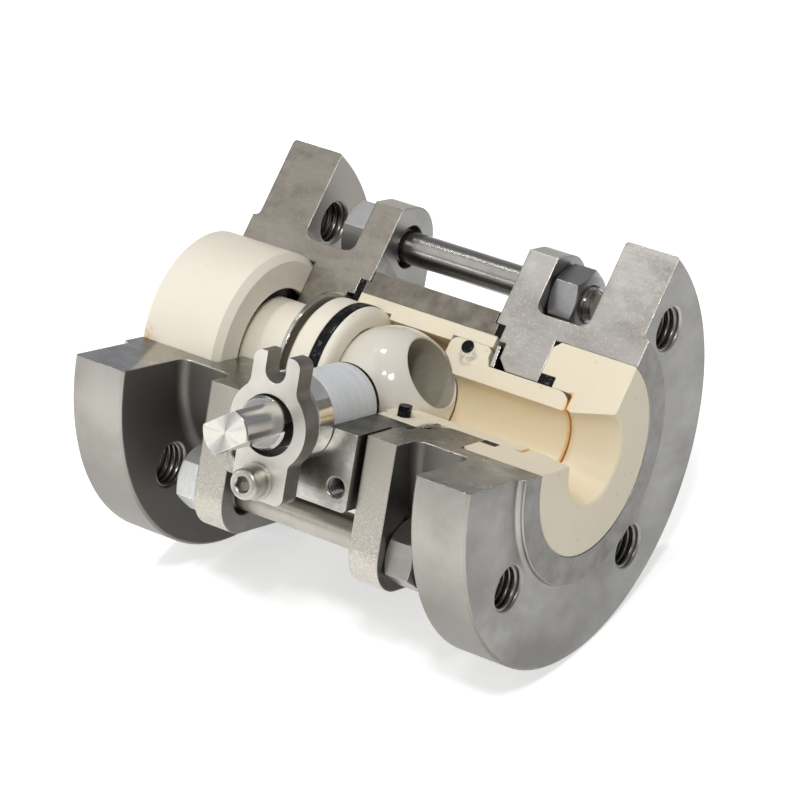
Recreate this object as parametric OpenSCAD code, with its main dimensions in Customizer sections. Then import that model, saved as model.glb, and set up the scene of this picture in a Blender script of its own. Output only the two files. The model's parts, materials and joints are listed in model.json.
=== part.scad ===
// Cutaway ceramic lined ball valve, DN 25 flanges, sizes in millimetres.
// The valve is built about its own axes and then rolled to the way it lies on its flanges:
// X runs along the pipe, the stem points towards -Y, the cut-out quarter faces up.
// Order of the pieces: metal bodies, ceramic parts, seals, springs, stem group, gland, tie rods.

/* [Whole valve] */
// Roll about the pipe axis at which the valve lies still on its two flange rims
roll_angle = 20.6; // [0:0.1:30]
// Angle of the removed wedge, counted from the stem direction
cut_angle = 120; // [90:1:150]
// Ball turn from fully open, as shown
ball_angle = 35; // [0:1:90]
// Distance between the two outer sealing faces
face_to_face = 127; // [115:0.5:140]

/* [End flanges] */
// Outer diameter of an end flange
flange_dia = 115; // [105:0.5:125]
// Thickness of an end flange without its raised face
flange_thick = 16.2; // [12:0.1:20]
// Height of the raised face
raised_height = 1.8; // [1:0.1:3]
// Diameter of the raised face at its top
raised_dia = 68; // [62:0.5:72]
// Pitch circle of the flange threads and of the tie rods
bolt_circle = 85; // [80:0.5:90]
// Diameter of the M12 flange threads
flange_thread = 12; // [11:0.1:13]
// Width of the countersink at both ends of a flange thread
thread_countersink = 0.5; // [0.2:0.1:1]
// Chamfer on the flange rims
rim_chamfer = 0.7; // [0.2:0.1:1.5]

/* [End bodies] */
// Half distance between the two square inner flanges
inner_face = 20.3; // [18:0.1:24]
// Thickness of a square inner flange
inner_thick = 8.9; // [7:0.1:12]
// Corner radius of the square flange about a tie rod
lug_radius = 11.2; // [9:0.1:13]
// Radius of the hub between the two flanges
hub_radius = 32; // [29:0.1:35]
// Fillet between hub and flanges
hub_fillet = 3; // [1:0.1:4]
// Diameter of a tie rod hole
rod_hole = 12.2; // [10.5:0.1:13]
// Gap between the seat neck and the bore around it
neck_gap = 0.2; // [0.1:0.05:0.5]
// Gap between a tie nut and its spot face
nut_gap = 0.3; // [0.1:0.1:1]
// Radius of the pocket for the end liner
pocket_radius = 26.36; // [24:0.01:28]
// Depth of the recess for the body gasket
gasket_recess = 3; // [2:0.1:4]
// Radius of the spring recess
spring_recess = 21.4; // [20:0.1:22]

/* [Centre body] */
// Half length of the centre body
centre_half = 19.9; // [17:0.1:21]
// Outer radius of the centre body
centre_radius = 29.1; // [27:0.1:31]
// Radius of the spigot that enters the end body
spigot_radius = 25.75; // [24:0.05:26]
// Length of the spigot past the end of the centre body
spigot_length = 1.3; // [0.5:0.1:2]
// Distance from pipe axis to the face of the stem pad
pad_face = 44; // [40:0.5:50]
// Half width of the stem pad along the pipe
pad_half_x = 19.1; // [15:0.1:20]
// Half width of the stem pad across the pipe
pad_half_z = 21; // [18:0.1:24]
// Corner radius of the stem pad
pad_corner = 1.5; // [1:0.5:6]
// Spacing of the four pad threads from the stem axis, along and across
pad_thread_at = 15.1; // [13:0.05:16.2]
// Diameter of the M5 pad threads
pad_thread = 5; // [4:0.1:6]
// Depth of the pad threads
pad_depth = 9; // [6:0.5:12]

/* [Ceramic parts] */
// Outer radius of the body liner
liner_radius = 22.45; // [21:0.05:24]
// Gap between the ball and the wall of its chamber
chamber_gap = 0.7; // [0.4:0.1:1.5]
// Half length of the body liner
half_liner = 21.8; // [21:0.1:22.2]
// Shift of the body liner towards the cut-open side
liner_slip = 0.6; // [0:0.1:0.8]
// Half length of the ball chamber
chamber_half = 9.9; // [8:0.1:12]
// Diameter of the ball
ball_dia = 34; // [31:0.1:34.4]
// Diameter of the ball bore
ball_bore = 19.2; // [16:0.1:20]
// Gap between ball and seat
seat_gap = 0.3; // [0.1:0.05:0.5]
// Outer radius of a seat
seat_radius = 19.2; // [18.5:0.05:20]
// Distance from valve centre to the back of a seat
seat_back = 22.4; // [20:0.1:22.6]
// Radius of the seat neck
neck_radius = 14.1; // [13:0.05:15]
// Distance from valve centre to the end of the seat neck
neck_end = 49.3; // [46:0.1:52]
// Diameter of the seat bore
seat_bore = 18.5; // [16:0.1:20]
// Outer radius of an end liner
end_liner_radius = 26.3; // [24:0.05:27]
// Distance from valve centre to the inner end of an end liner
end_liner_start = 38.7; // [36:0.1:42]
// Chamfer on the inner end of an end liner
end_liner_chamfer = 1.9; // [0.5:0.1:3]
// Narrow diameter of the end liner bore
throat_dia = 18.9; // [17:0.1:21]
// Mouth diameter of the end liner bore
mouth_dia = 25; // [22:0.1:28]

/* [Seals and springs] */
// Section diameter of a seat ring seal
seat_seal = 3.5; // [2.5:0.1:3.8]
// Distance from valve centre to a seat ring seal
seat_seal_at = 15.4; // [14.6:0.1:18]
// Length of the right-hand seat ring seal that stands out of its cut groove
seal_stub = 2.8; // [0.5:0.1:4]
// Thickness of a disc spring
spring_thick = 1.1; // [0.6:0.1:1.4]
// Rise of a disc spring from its outer to its inner edge
spring_rise = 0.5; // [0:0.1:1]
// Outer radius of a disc spring
spring_radius = 20.3; // [19:0.1:21.2]
// Outer radius of a neck seal
neck_seal_radius = 16.9; // [15.5:0.1:18]
// Length of a neck seal
neck_seal_length = 4.3; // [3:0.1:6]
// Depth of the left-hand neck seal below the end of its groove
neck_seal_sunk = 1.9; // [0:0.1:2.5]
// Thickness of a body gasket
gasket_thick = 1.8; // [1:0.1:2.5]

/* [Stem group] */
// Diameter of the stem
stem_dia = 13.9; // [12:0.1:14.3]
// Distance from pipe axis to the tip of the stem
stem_tip = 75; // [70:0.5:80]
// Length of the two flats at the stem end
flat_length = 15.5; // [12:0.5:16]
// Distance between the two flats
flat_width = 8.2; // [6:0.1:9.5]
// Chamfer around the end of the stem
tip_chamfer = 0.3; // [0.1:0.1:1]
// Thickness of the tongue that turns the ball
tongue_thick = 5; // [4:0.1:6]
// Distance from pipe axis to the end of the tongue
tongue_end = 12.7; // [12.5:0.1:15]
// Outer radius of the packing
packing_radius = 10.4; // [9:0.05:11]
// Distance from pipe axis to the bottom of the packing
packing_bottom = 22.8; // [22:0.1:25]
// Height of the stem seal below the packing
stem_seal_height = 1.6; // [1:0.1:2.2]
// Number of packing rings
packing_count = 5; // [3:1:7]
// Radius of the gland ring collar
gland_radius = 11.8; // [11:0.1:13]

/* [Gland] */
// Thickness of the gland plate
plate_thick = 6; // [4:0.1:8]
// Height of the outer face of the gland plate above the stem pad
plate_stand = 13.5; // [11:0.5:14.5]
// Offset of the gland plate from the stem axis, along the pipe
plate_slip_x = 0.55; // [0:0.05:0.6]
// Offset of the gland plate from the stem axis, towards its screw
plate_slip_z = 0.65; // [0:0.05:0.7]
// Radius of the gland plate around the stem
plate_round = 11.7; // [10.5:0.1:13]
// Half width of the forked arm
fork_arm = 7.05; // [6.5:0.05:8]
// Distance from plate centre to the end of the forked arm
fork_reach = 18.65; // [18:0.05:20]
// Half width of the arm that carries the gland screw
screw_arm = 8; // [7:0.1:9]
// Distance from plate centre to the end of the screw arm
screw_reach = 19.75; // [19:0.05:21]
// Diameter of the stem hole in the gland plate
plate_hole = 16.1; // [15.5:0.1:17]
// Distance from stem axis to the gland screw
screw_at = 15.6; // [14.5:0.1:17]
// Width of the open slot for the second screw
slot_width = 6.3; // [5:0.1:7]
// Distance from plate centre to the round end of the slot
slot_at = 14.3; // [13.5:0.1:16]
// Diameter of the gland screw
screw_dia = 4.9; // [4:0.1:5]
// Diameter of the gland screw head
head_dia = 8.2; // [7:0.1:9]
// Height of the gland screw head
head_height = 5; // [4:0.1:6]
// Rounding of the edge of the gland screw head
head_edge = 1; // [0.3:0.1:1.5]
// Width across flats of the hexagon socket
socket_width = 4; // [3:0.5:5]

/* [Tie rods] */
// Shank diameter of a tie rod
rod_shank = 9; // [8:0.1:10]
// Thread diameter of a tie rod
rod_thread = 9.8; // [9:0.1:10]
// Half length of a tie rod
rod_half = 39.6; // [37.8:0.1:43]
// Width across flats of a tie nut
nut_width = 16; // [15:0.5:17]
// Height of a tie nut
nut_height = 8.3; // [6:0.1:9]

/* [Hidden] */
$fn = 96;
flange_face = face_to_face / 2 - raised_height;
flange_inner = flange_face - flange_thick;
lug_face = inner_face + inner_thick;
rod_at = bolt_circle / 2 / sqrt(2);
square_half = rod_at + lug_radius;
neck_bore = neck_radius + neck_gap;
nut_across = nut_width / cos(30);
recess_floor = inner_face + gasket_recess;
spring_floor = recess_floor + 2.3;
throat_start = neck_end + 0.4;
liner_end = face_to_face / 2;
stem_radius = stem_dia / 2;
shoulder = stem_tip - flat_length;
plate_face = pad_face + plate_stand;
collar_top = plate_face - plate_thick;
collar_bottom = pad_face + 0.4;
packing_top = pad_face - 0.4;
washer_thick = 1.2;
neck_slope = 1.2;
chamber_radius = ball_dia / 2 + chamber_gap;
seal_centre = seat_radius - seat_seal / 2 - 0.02;

// Points of an arc about (cx, cy), from angle a to angle b
function arc(cx, cy, r, a, b, n = 8) =
    [for (i = [0:n]) [cx + r * cos(a + (b - a) * i / n), cy + r * sin(a + (b - a) * i / n)]];

// Turns a half section, given as [radius, position along the pipe], about the pipe axis
module turned(points) {
    rotate([0, 90, 0]) rotate_extrude() polygon(points);
}

// Puts a child built along +Z onto the stem axis, so that height counts from the pipe axis
module on_stem() {
    rotate([90, 0, 0]) children();
}

// The wedge that is cut away from the metal bodies and from the right-hand ceramic parts
module wedge() {
    reach = 120;
    rotate([90, 0, 90])
        translate([0, 0, -reach])
            linear_extrude(2 * reach)
                polygon([[0, 0], [-reach, 0], [-reach * cos(cut_angle / 2), reach * sin(cut_angle / 2)] * 1.8,
                    [-reach * cos(cut_angle), reach * sin(cut_angle)]]);
}

module cut_open() {
    difference() {
        children();
        wedge();
    }
}

module on_left() {
    mirror([1, 0, 0]) children();
}

// A plate with rounded corners, standing across the pipe
module square_plate(half, corner, from, to) {
    inner = half - corner;
    translate([from, 0, 0]) rotate([90, 0, 90]) linear_extrude(to - from) {
        square([2 * half, 2 * inner], center = true);
        square([2 * inner, 2 * half], center = true);
        for (y = [-1, 1], z = [-1, 1]) translate([y * inner, z * inner]) circle(r = corner);
    }
}

// Places children at the corners that are left after the cut: rear top, rear bottom, front bottom
module at_corners() {
    for (p = [[1, 1], [1, -1], [-1, -1]])
        translate([0, p[0] * rod_at, p[1] * rod_at]) children();
}

module end_body() {
    root = min(1.4, raised_height - 0.3);
    difference() {
        union() {
            turned(concat(
                [[0, inner_face], [hub_radius - 3, inner_face], [hub_radius - 3, lug_face - 1],
                 [hub_radius + hub_fillet, lug_face - 1]],
                arc(hub_radius + hub_fillet, lug_face + hub_fillet, hub_fillet, 270, 180),
                arc(hub_radius + hub_fillet, flange_inner - hub_fillet, hub_fillet, 180, 90),
                [[flange_dia / 2 - rim_chamfer, flange_inner], [flange_dia / 2, flange_inner + rim_chamfer],
                 [flange_dia / 2, flange_face - rim_chamfer], [flange_dia / 2 - rim_chamfer, flange_face],
                 [raised_dia / 2 + root, flange_face]],
                arc(raised_dia / 2 + root, flange_face + root, root, 270, 180),
                [[raised_dia / 2, flange_face + raised_height - 0.2],
                 [raised_dia / 2 - 0.2, flange_face + raised_height], [0, flange_face + raised_height]]));
            square_plate(square_half, lug_radius, inner_face, lug_face);
        }
        // gasket recess, spring recess, lead-in, neck bore and liner pocket
        turned([[0, inner_face - 1], [spigot_radius + 0.2, inner_face - 1], [spigot_radius + 0.2, recess_floor],
            [spring_recess, recess_floor], [spring_recess, spring_floor], [neck_bore + 3, spring_floor],
            [neck_bore, spring_floor + 3], [neck_bore, end_liner_start - 0.1],
            [pocket_radius, end_liner_start - 0.1], [pocket_radius, flange_face + 10], [0, flange_face + 10]]);
        at_corners() {
            translate([inner_face - 1, 0, 0]) rotate([0, 90, 0]) cylinder(d = rod_hole, h = inner_thick + 2);
            translate([lug_face, 0, 0]) rotate([0, 90, 0])
                cylinder(r = nut_across / 2 + nut_gap, h = nut_height + nut_gap);
            translate([flange_inner - 1, 0, 0]) rotate([0, 90, 0])
                cylinder(d = flange_thread, h = flange_thick + 2);
            for (end = [[flange_face, 1], [flange_inner, -1]])
                translate([end[0], 0, 0]) rotate([0, 90 * end[1], 0]) translate([0, 0, -thread_countersink])
                    cylinder(r1 = flange_thread / 2, r2 = flange_thread / 2 + 2 * thread_countersink,
                        h = 2 * thread_countersink);
        }
    }
}

module right_end_body() {
    color("silver") cut_open() end_body();
}

module left_end_body() {
    color("silver") cut_open() on_left() end_body();
}

module centre_body() {
    color("gray") difference() {
        union() {
            rotate([0, 90, 0]) cylinder(r = centre_radius, h = 2 * centre_half, center = true);
            rotate([0, 90, 0]) cylinder(r = spigot_radius, h = 2 * (centre_half + spigot_length), center = true);
            on_stem() linear_extrude(pad_face) {
                square([2 * pad_half_x, 2 * (pad_half_z - pad_corner)], center = true);
                square([2 * (pad_half_x - pad_corner), 2 * pad_half_z], center = true);
                for (x = [-1, 1], z = [-1, 1])
                    translate([x * (pad_half_x - pad_corner), z * (pad_half_z - pad_corner)]) circle(r = pad_corner);
            }
        }
        rotate([0, 90, 0]) cylinder(r = liner_radius + 0.05, h = 3 * centre_half, center = true);
        on_stem() {
            cylinder(r = packing_radius + 0.05, h = pad_face + 1);
            translate([0, -screw_at, pad_face - 12]) cylinder(d = screw_dia + 0.1, h = 13);
            for (x = [-1, 1]) translate([x * pad_thread_at, -pad_thread_at, pad_face - pad_depth]) {
                cylinder(d = pad_thread, h = pad_depth + 1);
                translate([0, 0, pad_depth - 0.4]) cylinder(d1 = pad_thread, d2 = pad_thread + 1.6, h = 0.8);
            }
        }
        wedge();
    }
}

module body_liner() {
    color("ivory") difference() {
        translate([liner_slip, 0, 0]) rotate([0, 90, 0])
            cylinder(r = liner_radius, h = 2 * half_liner, center = true);
        rotate([0, 90, 0]) cylinder(r = chamber_radius, h = 3 * half_liner, center = true);
        for (side = [-1, 1]) translate([side * (chamber_half + half_liner), 0, 0]) rotate([0, 90, 0])
            cylinder(r = seat_radius + 0.05, h = 2 * half_liner, center = true);
        on_stem() cylinder(r = packing_radius + 0.05, h = liner_radius + 1);
        wedge();
    }
}

module seat() {
    r = seat_bore / 2;
    groove = seat_seal / 2 + 0.1;
    mouth = sqrt(groove * groove - pow(seat_radius - seal_centre, 2));
    front = 2.4;
    nose = 3.7;
    difference() {
        turned(concat([[r, 0], [seat_radius - front, 0]],
            arc(seat_radius - front, chamber_half + front, front, 270, 360),
            [[seat_radius, seat_seal_at - mouth]],
            arc(seal_centre, seat_seal_at, groove, 343, 17, 18),
            [[seat_radius, seat_seal_at + mouth], [seat_radius, seat_back - 1],
             [seat_radius - 1, seat_back], [neck_radius + 2 * neck_slope, seat_back],
             [neck_radius, seat_back + neck_slope]],
            arc(neck_radius - nose, neck_end - nose, nose, 0, 90),
            [[r + 0.5, neck_end], [r, neck_end - 0.5]]));
        rotate([40, 90, 0]) sphere(r = ball_dia / 2 + seat_gap);
        translate([chamber_half - 30, 0, 0]) rotate([0, 90, 0]) cylinder(r = 30, h = 30);
    }
}

module left_seat() {
    color("ivory") on_left() seat();
}

module right_seat() {
    color("ivory") cut_open() seat();
}

module end_liner() {
    r = end_liner_radius;
    s = end_liner_start;
    turned([[r - end_liner_chamfer, s], [r, s + end_liner_chamfer], [r, liner_end - 0.4], [r - 0.4, liner_end],
        [mouth_dia / 2 + 0.5, liner_end], [mouth_dia / 2, liner_end - 0.5], [throat_dia / 2, throat_start + 1.6],
        [throat_dia / 2 + 0.5, throat_start], [neck_radius - 0.6, throat_start], [neck_radius + 0.08, throat_start - 0.7],
        [neck_radius + 0.08, s + neck_seal_length + 0.2], [neck_seal_radius + 0.1, s + neck_seal_length + 0.2],
        [neck_seal_radius + 0.1, s]]);
}

module left_end_liner() {
    color("ivory") on_left() end_liner();
}

module right_end_liner() {
    color("ivory") cut_open() end_liner();
}

module ball() {
    r = ball_dia / 2;
    bore = ball_bore / 2;
    edge = sqrt(r * r - bore * bore);
    color("ivory") rotate([0, -ball_angle, 0]) difference() {
        sphere(r = r);
        rotate([0, 90, 0]) cylinder(r = bore, h = 2 * r + 2, center = true);
        for (side = [-1, 1]) rotate([0, side * 90, 0]) translate([0, 0, edge - 0.7])
            cylinder(r1 = bore, r2 = bore + 1.6, h = 1.6);
        on_stem() translate([-tongue_thick / 2 - 0.1, -stem_radius - 0.15, tongue_end - 0.2])
            cube([tongue_thick + 0.2, stem_dia + 0.3, 20]);
    }
}

module stem() {
    bottom = ball_dia / 2 + 0.5;
    color("lightgray") on_stem() rotate([0, 0, ball_angle]) {
        translate([0, 0, bottom]) cylinder(r = stem_radius, h = shoulder - bottom - 0.6);
        translate([0, 0, shoulder - 0.6]) cylinder(r1 = stem_radius, r2 = stem_radius - 0.6, h = 0.6);
        translate([0, 0, shoulder - 1]) intersection() {
            union() {
                cylinder(r = stem_radius, h = flat_length + 1 - tip_chamfer);
                translate([0, 0, flat_length + 1 - tip_chamfer])
                    cylinder(r1 = stem_radius, r2 = stem_radius - tip_chamfer, h = tip_chamfer);
            }
            translate([-stem_radius, -flat_width / 2, 0]) cube([stem_dia, flat_width, flat_length + 1]);
        }
        intersection() {
            translate([0, 0, tongue_end]) cylinder(r = stem_radius, h = bottom - tongue_end + 1);
            translate([-tongue_thick / 2, -stem_radius, tongue_end])
                cube([tongue_thick, stem_dia, bottom - tongue_end + 1]);
        }
    }
}

// One packing ring, counted from the ball outwards
module packing_ring(index) {
    height = (packing_top - packing_bottom) / packing_count;
    low = packing_bottom + (index - 1) * height;
    inner = stem_radius + 0.05;
    bevel = 0.1;
    color("whitesmoke") on_stem() rotate_extrude()
        polygon([[inner, low + 0.02], [packing_radius - bevel, low + 0.02], [packing_radius, low + bevel],
            [packing_radius, low + height - bevel], [packing_radius - bevel, low + height - 0.02],
            [inner, low + height - 0.02]]);
}

module packing_ring_1() {
    packing_ring(1);
}

module packing_ring_2() {
    packing_ring(2);
}

module packing_ring_3() {
    packing_ring(3);
}

module packing_ring_4() {
    packing_ring(4);
}

module packing_ring_5() {
    packing_ring(5);
}

module stem_seal() {
    inner = stem_radius + 0.06;
    top = packing_bottom - 0.05;
    half = stem_seal_height / 2;
    color("black") on_stem() rotate_extrude()
        polygon(concat([[inner, top - 2 * half]], arc(packing_radius - half, top - half, half, 270, 450),
            [[inner, top]]));
}

module gland_ring() {
    inner = stem_radius + 0.1;
    color("silver") on_stem() rotate_extrude()
        polygon([[inner, packing_top + 0.02], [packing_radius - 0.1, packing_top + 0.02],
            [packing_radius - 0.1, collar_bottom], [gland_radius, collar_bottom],
            [gland_radius, collar_top - 0.9], [gland_radius - 0.9, collar_top - 0.02], [inner, collar_top - 0.02]]);
}

// One arm of the gland plate; a hollow curve leads into it from the round part
module plate_end(half, reach, fillet) {
    corner = 2.4;
    cx = half + fillet;
    cz = sqrt(pow(plate_round + fillet, 2) - cx * cx);
    hollow = arc(cx, cz, fillet + 0.03, 180 + atan2(cz, cx), 180, 8);
    translate([-half, 0]) square([2 * half, reach - corner]);
    translate([corner - half, 0]) square([2 * (half - corner), reach]);
    for (side = [0, 1]) mirror([side, 0, 0]) {
        translate([half - corner, reach - corner]) circle(r = corner);
        polygon(concat([[0, 0], [cx * 0.6, cz * 0.6]], hollow, [[half - 1, cz], [0, cz]]));
    }
}

module gland_plate() {
    color("silver") on_stem() translate([plate_slip_x, -plate_slip_z, plate_face - plate_thick])
        linear_extrude(plate_thick) difference() {
            union() {
                circle(r = plate_round);
                plate_end(fork_arm, fork_reach, 4);
                mirror([0, 1, 0]) plate_end(screw_arm, screw_reach, 3);
            }
            circle(d = plate_hole);
            translate([-plate_slip_x, plate_slip_z - screw_at]) circle(d = screw_dia + 0.7);
            translate([0, slot_at]) circle(d = slot_width);
            translate([-slot_width / 2, slot_at]) square([slot_width, fork_reach]);
        }
}

module gland_washer() {
    color("silver") on_stem() translate([0, -screw_at, plate_face + 0.02]) difference() {
        cylinder(r = 4.9, h = washer_thick);
        translate([0, 0, -1]) cylinder(d = screw_dia + 0.4, h = washer_thick + 2);
    }
}

module gland_screw() {
    base = plate_face + washer_thick + 0.04;
    socket_floor = base + head_height - 0.7 * socket_width;
    socket_radius = socket_width / 2 / cos(30);
    color("silver") on_stem() translate([0, -screw_at, 0]) difference() {
        union() {
            translate([0, 0, pad_face - 10]) cylinder(d = screw_dia, h = base - pad_face + 11);
            translate([0, 0, base]) rotate_extrude() polygon(concat([[0, 0], [head_dia / 2, 0]],
                arc(head_dia / 2 - head_edge, head_height - head_edge, head_edge, 0, 90), [[0, head_height]]));
        }
        translate([0, 0, socket_floor]) rotate([0, 0, 18]) cylinder(r = socket_radius, h = socket_width, $fn = 6);
        translate([0, 0, base + head_height - 0.4])
            cylinder(r1 = socket_width / 2, r2 = socket_width / 2 + 0.7, h = 0.7);
    }
}

module disc_spring() {
    low = neck_radius + 0.25;
    start = recess_floor + 0.1;
    turned([[low, start + spring_rise], [low, start + spring_rise + spring_thick],
        [spring_radius, start + spring_thick], [spring_radius, start]]);
}

module left_disc_spring() {
    color("gray") on_left() disc_spring();
}

module right_disc_spring() {
    color("gray") cut_open() disc_spring();
}

module seat_seal_ring() {
    rotate([0, 90, 0]) translate([0, 0, seat_seal_at]) rotate_extrude()
        translate([seal_centre, 0]) circle(d = seat_seal);
}

module left_seat_seal() {
    color("black") on_left() seat_seal_ring();
}

module right_seat_seal() {
    color("black") union() {
        cut_open() seat_seal_ring();
        // the end of the ring that stands out of the front cut
        intersection() {
            seat_seal_ring();
            translate([0, -2 * seat_radius, -0.5]) cube([2 * seat_seal_at, 2 * seat_radius, seal_stub + 0.5]);
        }
    }
}

module neck_seal(sunk) {
    inner = neck_radius + 0.05;
    from = end_liner_start - 0.02;
    turned([[inner, from + sunk], [neck_seal_radius, from + sunk], [neck_seal_radius, from + neck_seal_length],
        [inner, from + neck_seal_length]]);
}

module left_neck_seal() {
    color("black") on_left() neck_seal(neck_seal_sunk);
}

module right_neck_seal() {
    color("black") cut_open() neck_seal(0);
}

module body_gasket(inner) {
    from = recess_floor - gasket_thick - 0.05;
    turned([[inner, from], [spigot_radius, from], [spigot_radius, from + gasket_thick],
        [inner, from + gasket_thick]]);
}

module left_body_gasket() {
    color("black") cut_open() on_left() body_gasket(seat_radius + 0.5);
}

module right_body_gasket() {
    color("black") cut_open() body_gasket(liner_radius + 0.2);
}

module tie_rod() {
    thread_start = inner_face + 1;
    color("silver") rotate([0, 90, 0]) {
        cylinder(d = rod_shank, h = 2 * thread_start + 0.2, center = true);
        for (side = [0, 1]) mirror([0, 0, side]) {
            translate([0, 0, thread_start]) cylinder(d = rod_thread, h = rod_half - thread_start - 0.8);
            translate([0, 0, rod_half - 0.8]) cylinder(d1 = rod_thread, d2 = rod_thread - 1.6, h = 0.8);
        }
    }
}

module tie_nut(turn) {
    rim = nut_across + 0.2;
    color("silver") rotate([0, 90, 0]) translate([0, 0, lug_face + 0.03]) difference() {
        intersection() {
            rotate([0, 0, turn]) cylinder(d = nut_across, h = nut_height, $fn = 6);
            union() {
                cylinder(d1 = nut_width - 0.6, d2 = rim, h = 0.9);
                translate([0, 0, 0.9]) cylinder(d = rim, h = nut_height - 1.8);
                translate([0, 0, nut_height - 0.9]) cylinder(d1 = rim, d2 = nut_width - 0.6, h = 0.9);
            }
        }
        translate([0, 0, -1]) cylinder(d = rod_thread + 0.1, h = nut_height + 2);
        translate([0, 0, nut_height - 0.6]) cylinder(d1 = rod_thread + 0.1, d2 = rod_thread + 1.5, h = 0.7);
    }
}

module upper_tie_rod() {
    translate([0, rod_at, rod_at]) tie_rod();
}

module front_tie_rod() {
    translate([0, -rod_at, -rod_at]) tie_rod();
}

module rear_tie_rod() {
    translate([0, rod_at, -rod_at]) tie_rod();
}

module upper_left_nut() {
    translate([0, rod_at, rod_at]) on_left() tie_nut(8);
}

module upper_right_nut() {
    translate([0, rod_at, rod_at]) tie_nut(50);
}

module front_left_nut() {
    translate([0, -rod_at, -rod_at]) on_left() tie_nut(54);
}

module front_right_nut() {
    translate([0, -rod_at, -rod_at]) tie_nut(0);
}

module rear_left_nut() {
    translate([0, rod_at, -rod_at]) on_left() tie_nut(12);
}

module rear_right_nut() {
    translate([0, rod_at, -rod_at]) tie_nut(26);
}

rotate([-roll_angle, 0, 0]) {
    left_end_body();
    right_end_body();
    centre_body();
    body_liner();
    left_end_liner();
    right_end_liner();
    left_seat();
    right_seat();
    ball();
    stem();
    packing_ring_1();
    packing_ring_2();
    packing_ring_3();
    packing_ring_4();
    packing_ring_5();
    stem_seal();
    gland_ring();
    gland_plate();
    gland_washer();
    gland_screw();
    left_disc_spring();
    right_disc_spring();
    left_seat_seal();
    right_seat_seal();
    left_neck_seal();
    right_neck_seal();
    left_body_gasket();
    right_body_gasket();
    upper_tie_rod();
    front_tie_rod();
    rear_tie_rod();
    upper_left_nut();
    upper_right_nut();
    front_left_nut();
    front_right_nut();
    rear_left_nut();
    rear_right_nut();
}
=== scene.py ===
import json
import math

import bmesh
import bpy
from mathutils import Matrix, Vector


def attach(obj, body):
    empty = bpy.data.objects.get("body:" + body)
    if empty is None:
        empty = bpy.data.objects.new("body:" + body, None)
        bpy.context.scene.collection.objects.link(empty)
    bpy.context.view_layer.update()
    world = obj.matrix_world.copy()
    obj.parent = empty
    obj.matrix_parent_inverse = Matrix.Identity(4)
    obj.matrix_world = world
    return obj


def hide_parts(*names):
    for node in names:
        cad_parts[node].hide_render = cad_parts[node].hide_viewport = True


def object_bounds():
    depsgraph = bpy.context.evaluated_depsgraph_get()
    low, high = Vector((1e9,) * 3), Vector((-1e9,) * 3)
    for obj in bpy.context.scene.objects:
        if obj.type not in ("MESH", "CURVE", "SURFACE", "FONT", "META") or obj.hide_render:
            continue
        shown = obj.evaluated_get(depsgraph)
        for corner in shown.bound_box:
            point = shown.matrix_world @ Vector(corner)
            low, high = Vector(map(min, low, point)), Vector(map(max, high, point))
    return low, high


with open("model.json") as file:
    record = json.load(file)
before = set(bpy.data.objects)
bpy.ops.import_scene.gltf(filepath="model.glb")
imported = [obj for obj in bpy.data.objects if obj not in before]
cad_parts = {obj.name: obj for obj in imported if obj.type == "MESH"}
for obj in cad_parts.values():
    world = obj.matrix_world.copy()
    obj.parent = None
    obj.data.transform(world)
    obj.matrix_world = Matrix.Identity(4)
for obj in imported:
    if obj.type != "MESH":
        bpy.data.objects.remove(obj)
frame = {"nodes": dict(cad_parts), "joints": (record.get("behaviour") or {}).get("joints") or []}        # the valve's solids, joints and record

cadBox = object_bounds()
nodes = frame["nodes"]
stemAxis = Vector(frame["joints"][0]["axis"])
rollAngle = math.atan2(stemAxis.z, -stemAxis.y)      # how far the valve has rolled on its rims
toFrame = Matrix.Rotation(-rollAngle, 4, "X")        # from the valve's own axes to the shared frame
mm = 0.001
scene = bpy.context.scene

view = {
    "place": (487.53, -800.90, 265.38),      # millimetres, in the valve's own axes
    "look": (-0.49777, 0.82265, -0.27473),
    "up": (-0.28258, 0.14564, 0.94812),
    "lens": 166.3,
    "sensor": 36,
    "nearest": 0.05,
    "farthest": 20,
}


def addCamera(values):
    data = bpy.data.cameras.new("camera")
    data.sensor_width = values["sensor"]
    data.lens = values["lens"]
    data.clip_start = values["nearest"]
    data.clip_end = values["farthest"]
    cam = bpy.data.objects.new("camera", data)
    scene.collection.objects.link(cam)
    look = Vector(values["look"]).normalized()
    right = look.cross(Vector(values["up"])).normalized()
    turn = Matrix((right, right.cross(look), -look)).transposed().to_4x4()
    cam.matrix_world = toFrame @ Matrix.Translation(Vector(values["place"]) * mm) @ turn
    scene.camera = cam


addCamera(view)
print("camera placed")


# Short helpers for shader trees: most return the socket that carries on
def put(tree, socket, value):
    if isinstance(value, bpy.types.NodeSocket):
        tree.links.new(value, socket)
    elif isinstance(value, tuple) and len(value) == 3 and socket.type == "RGBA":
        socket.default_value = (*value, 1)
    elif value is not None:
        socket.default_value = value


def calc(tree, operation, a, b=None, c=None, clamp=False):
    node = tree.nodes.new("ShaderNodeMath")
    node.operation = operation
    node.use_clamp = clamp
    for socket, value in zip(node.inputs, (a, b, c)):
        put(tree, socket, value)
    return node.outputs[0]


def times(tree, a, b, clamp=False):
    return calc(tree, "MULTIPLY", a, b, clamp=clamp)


def fromAxis(tree, a, b):
    return calc(tree, "SQRT", calc(tree, "MULTIPLY_ADD", a, a, times(tree, b, b)))


def vectorCalc(tree, operation, a, b):
    node = tree.nodes.new("ShaderNodeVectorMath")
    node.operation = operation
    put(tree, node.inputs[0], a)
    put(tree, node.inputs[1], b)
    return node.outputs


def blendColour(tree, factor, a, b):
    node = tree.nodes.new("ShaderNodeMix")
    node.data_type = "RGBA"
    put(tree, node.inputs[0], factor)
    put(tree, node.inputs[6], a)
    put(tree, node.inputs[7], b)
    return node.outputs[2]


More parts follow.
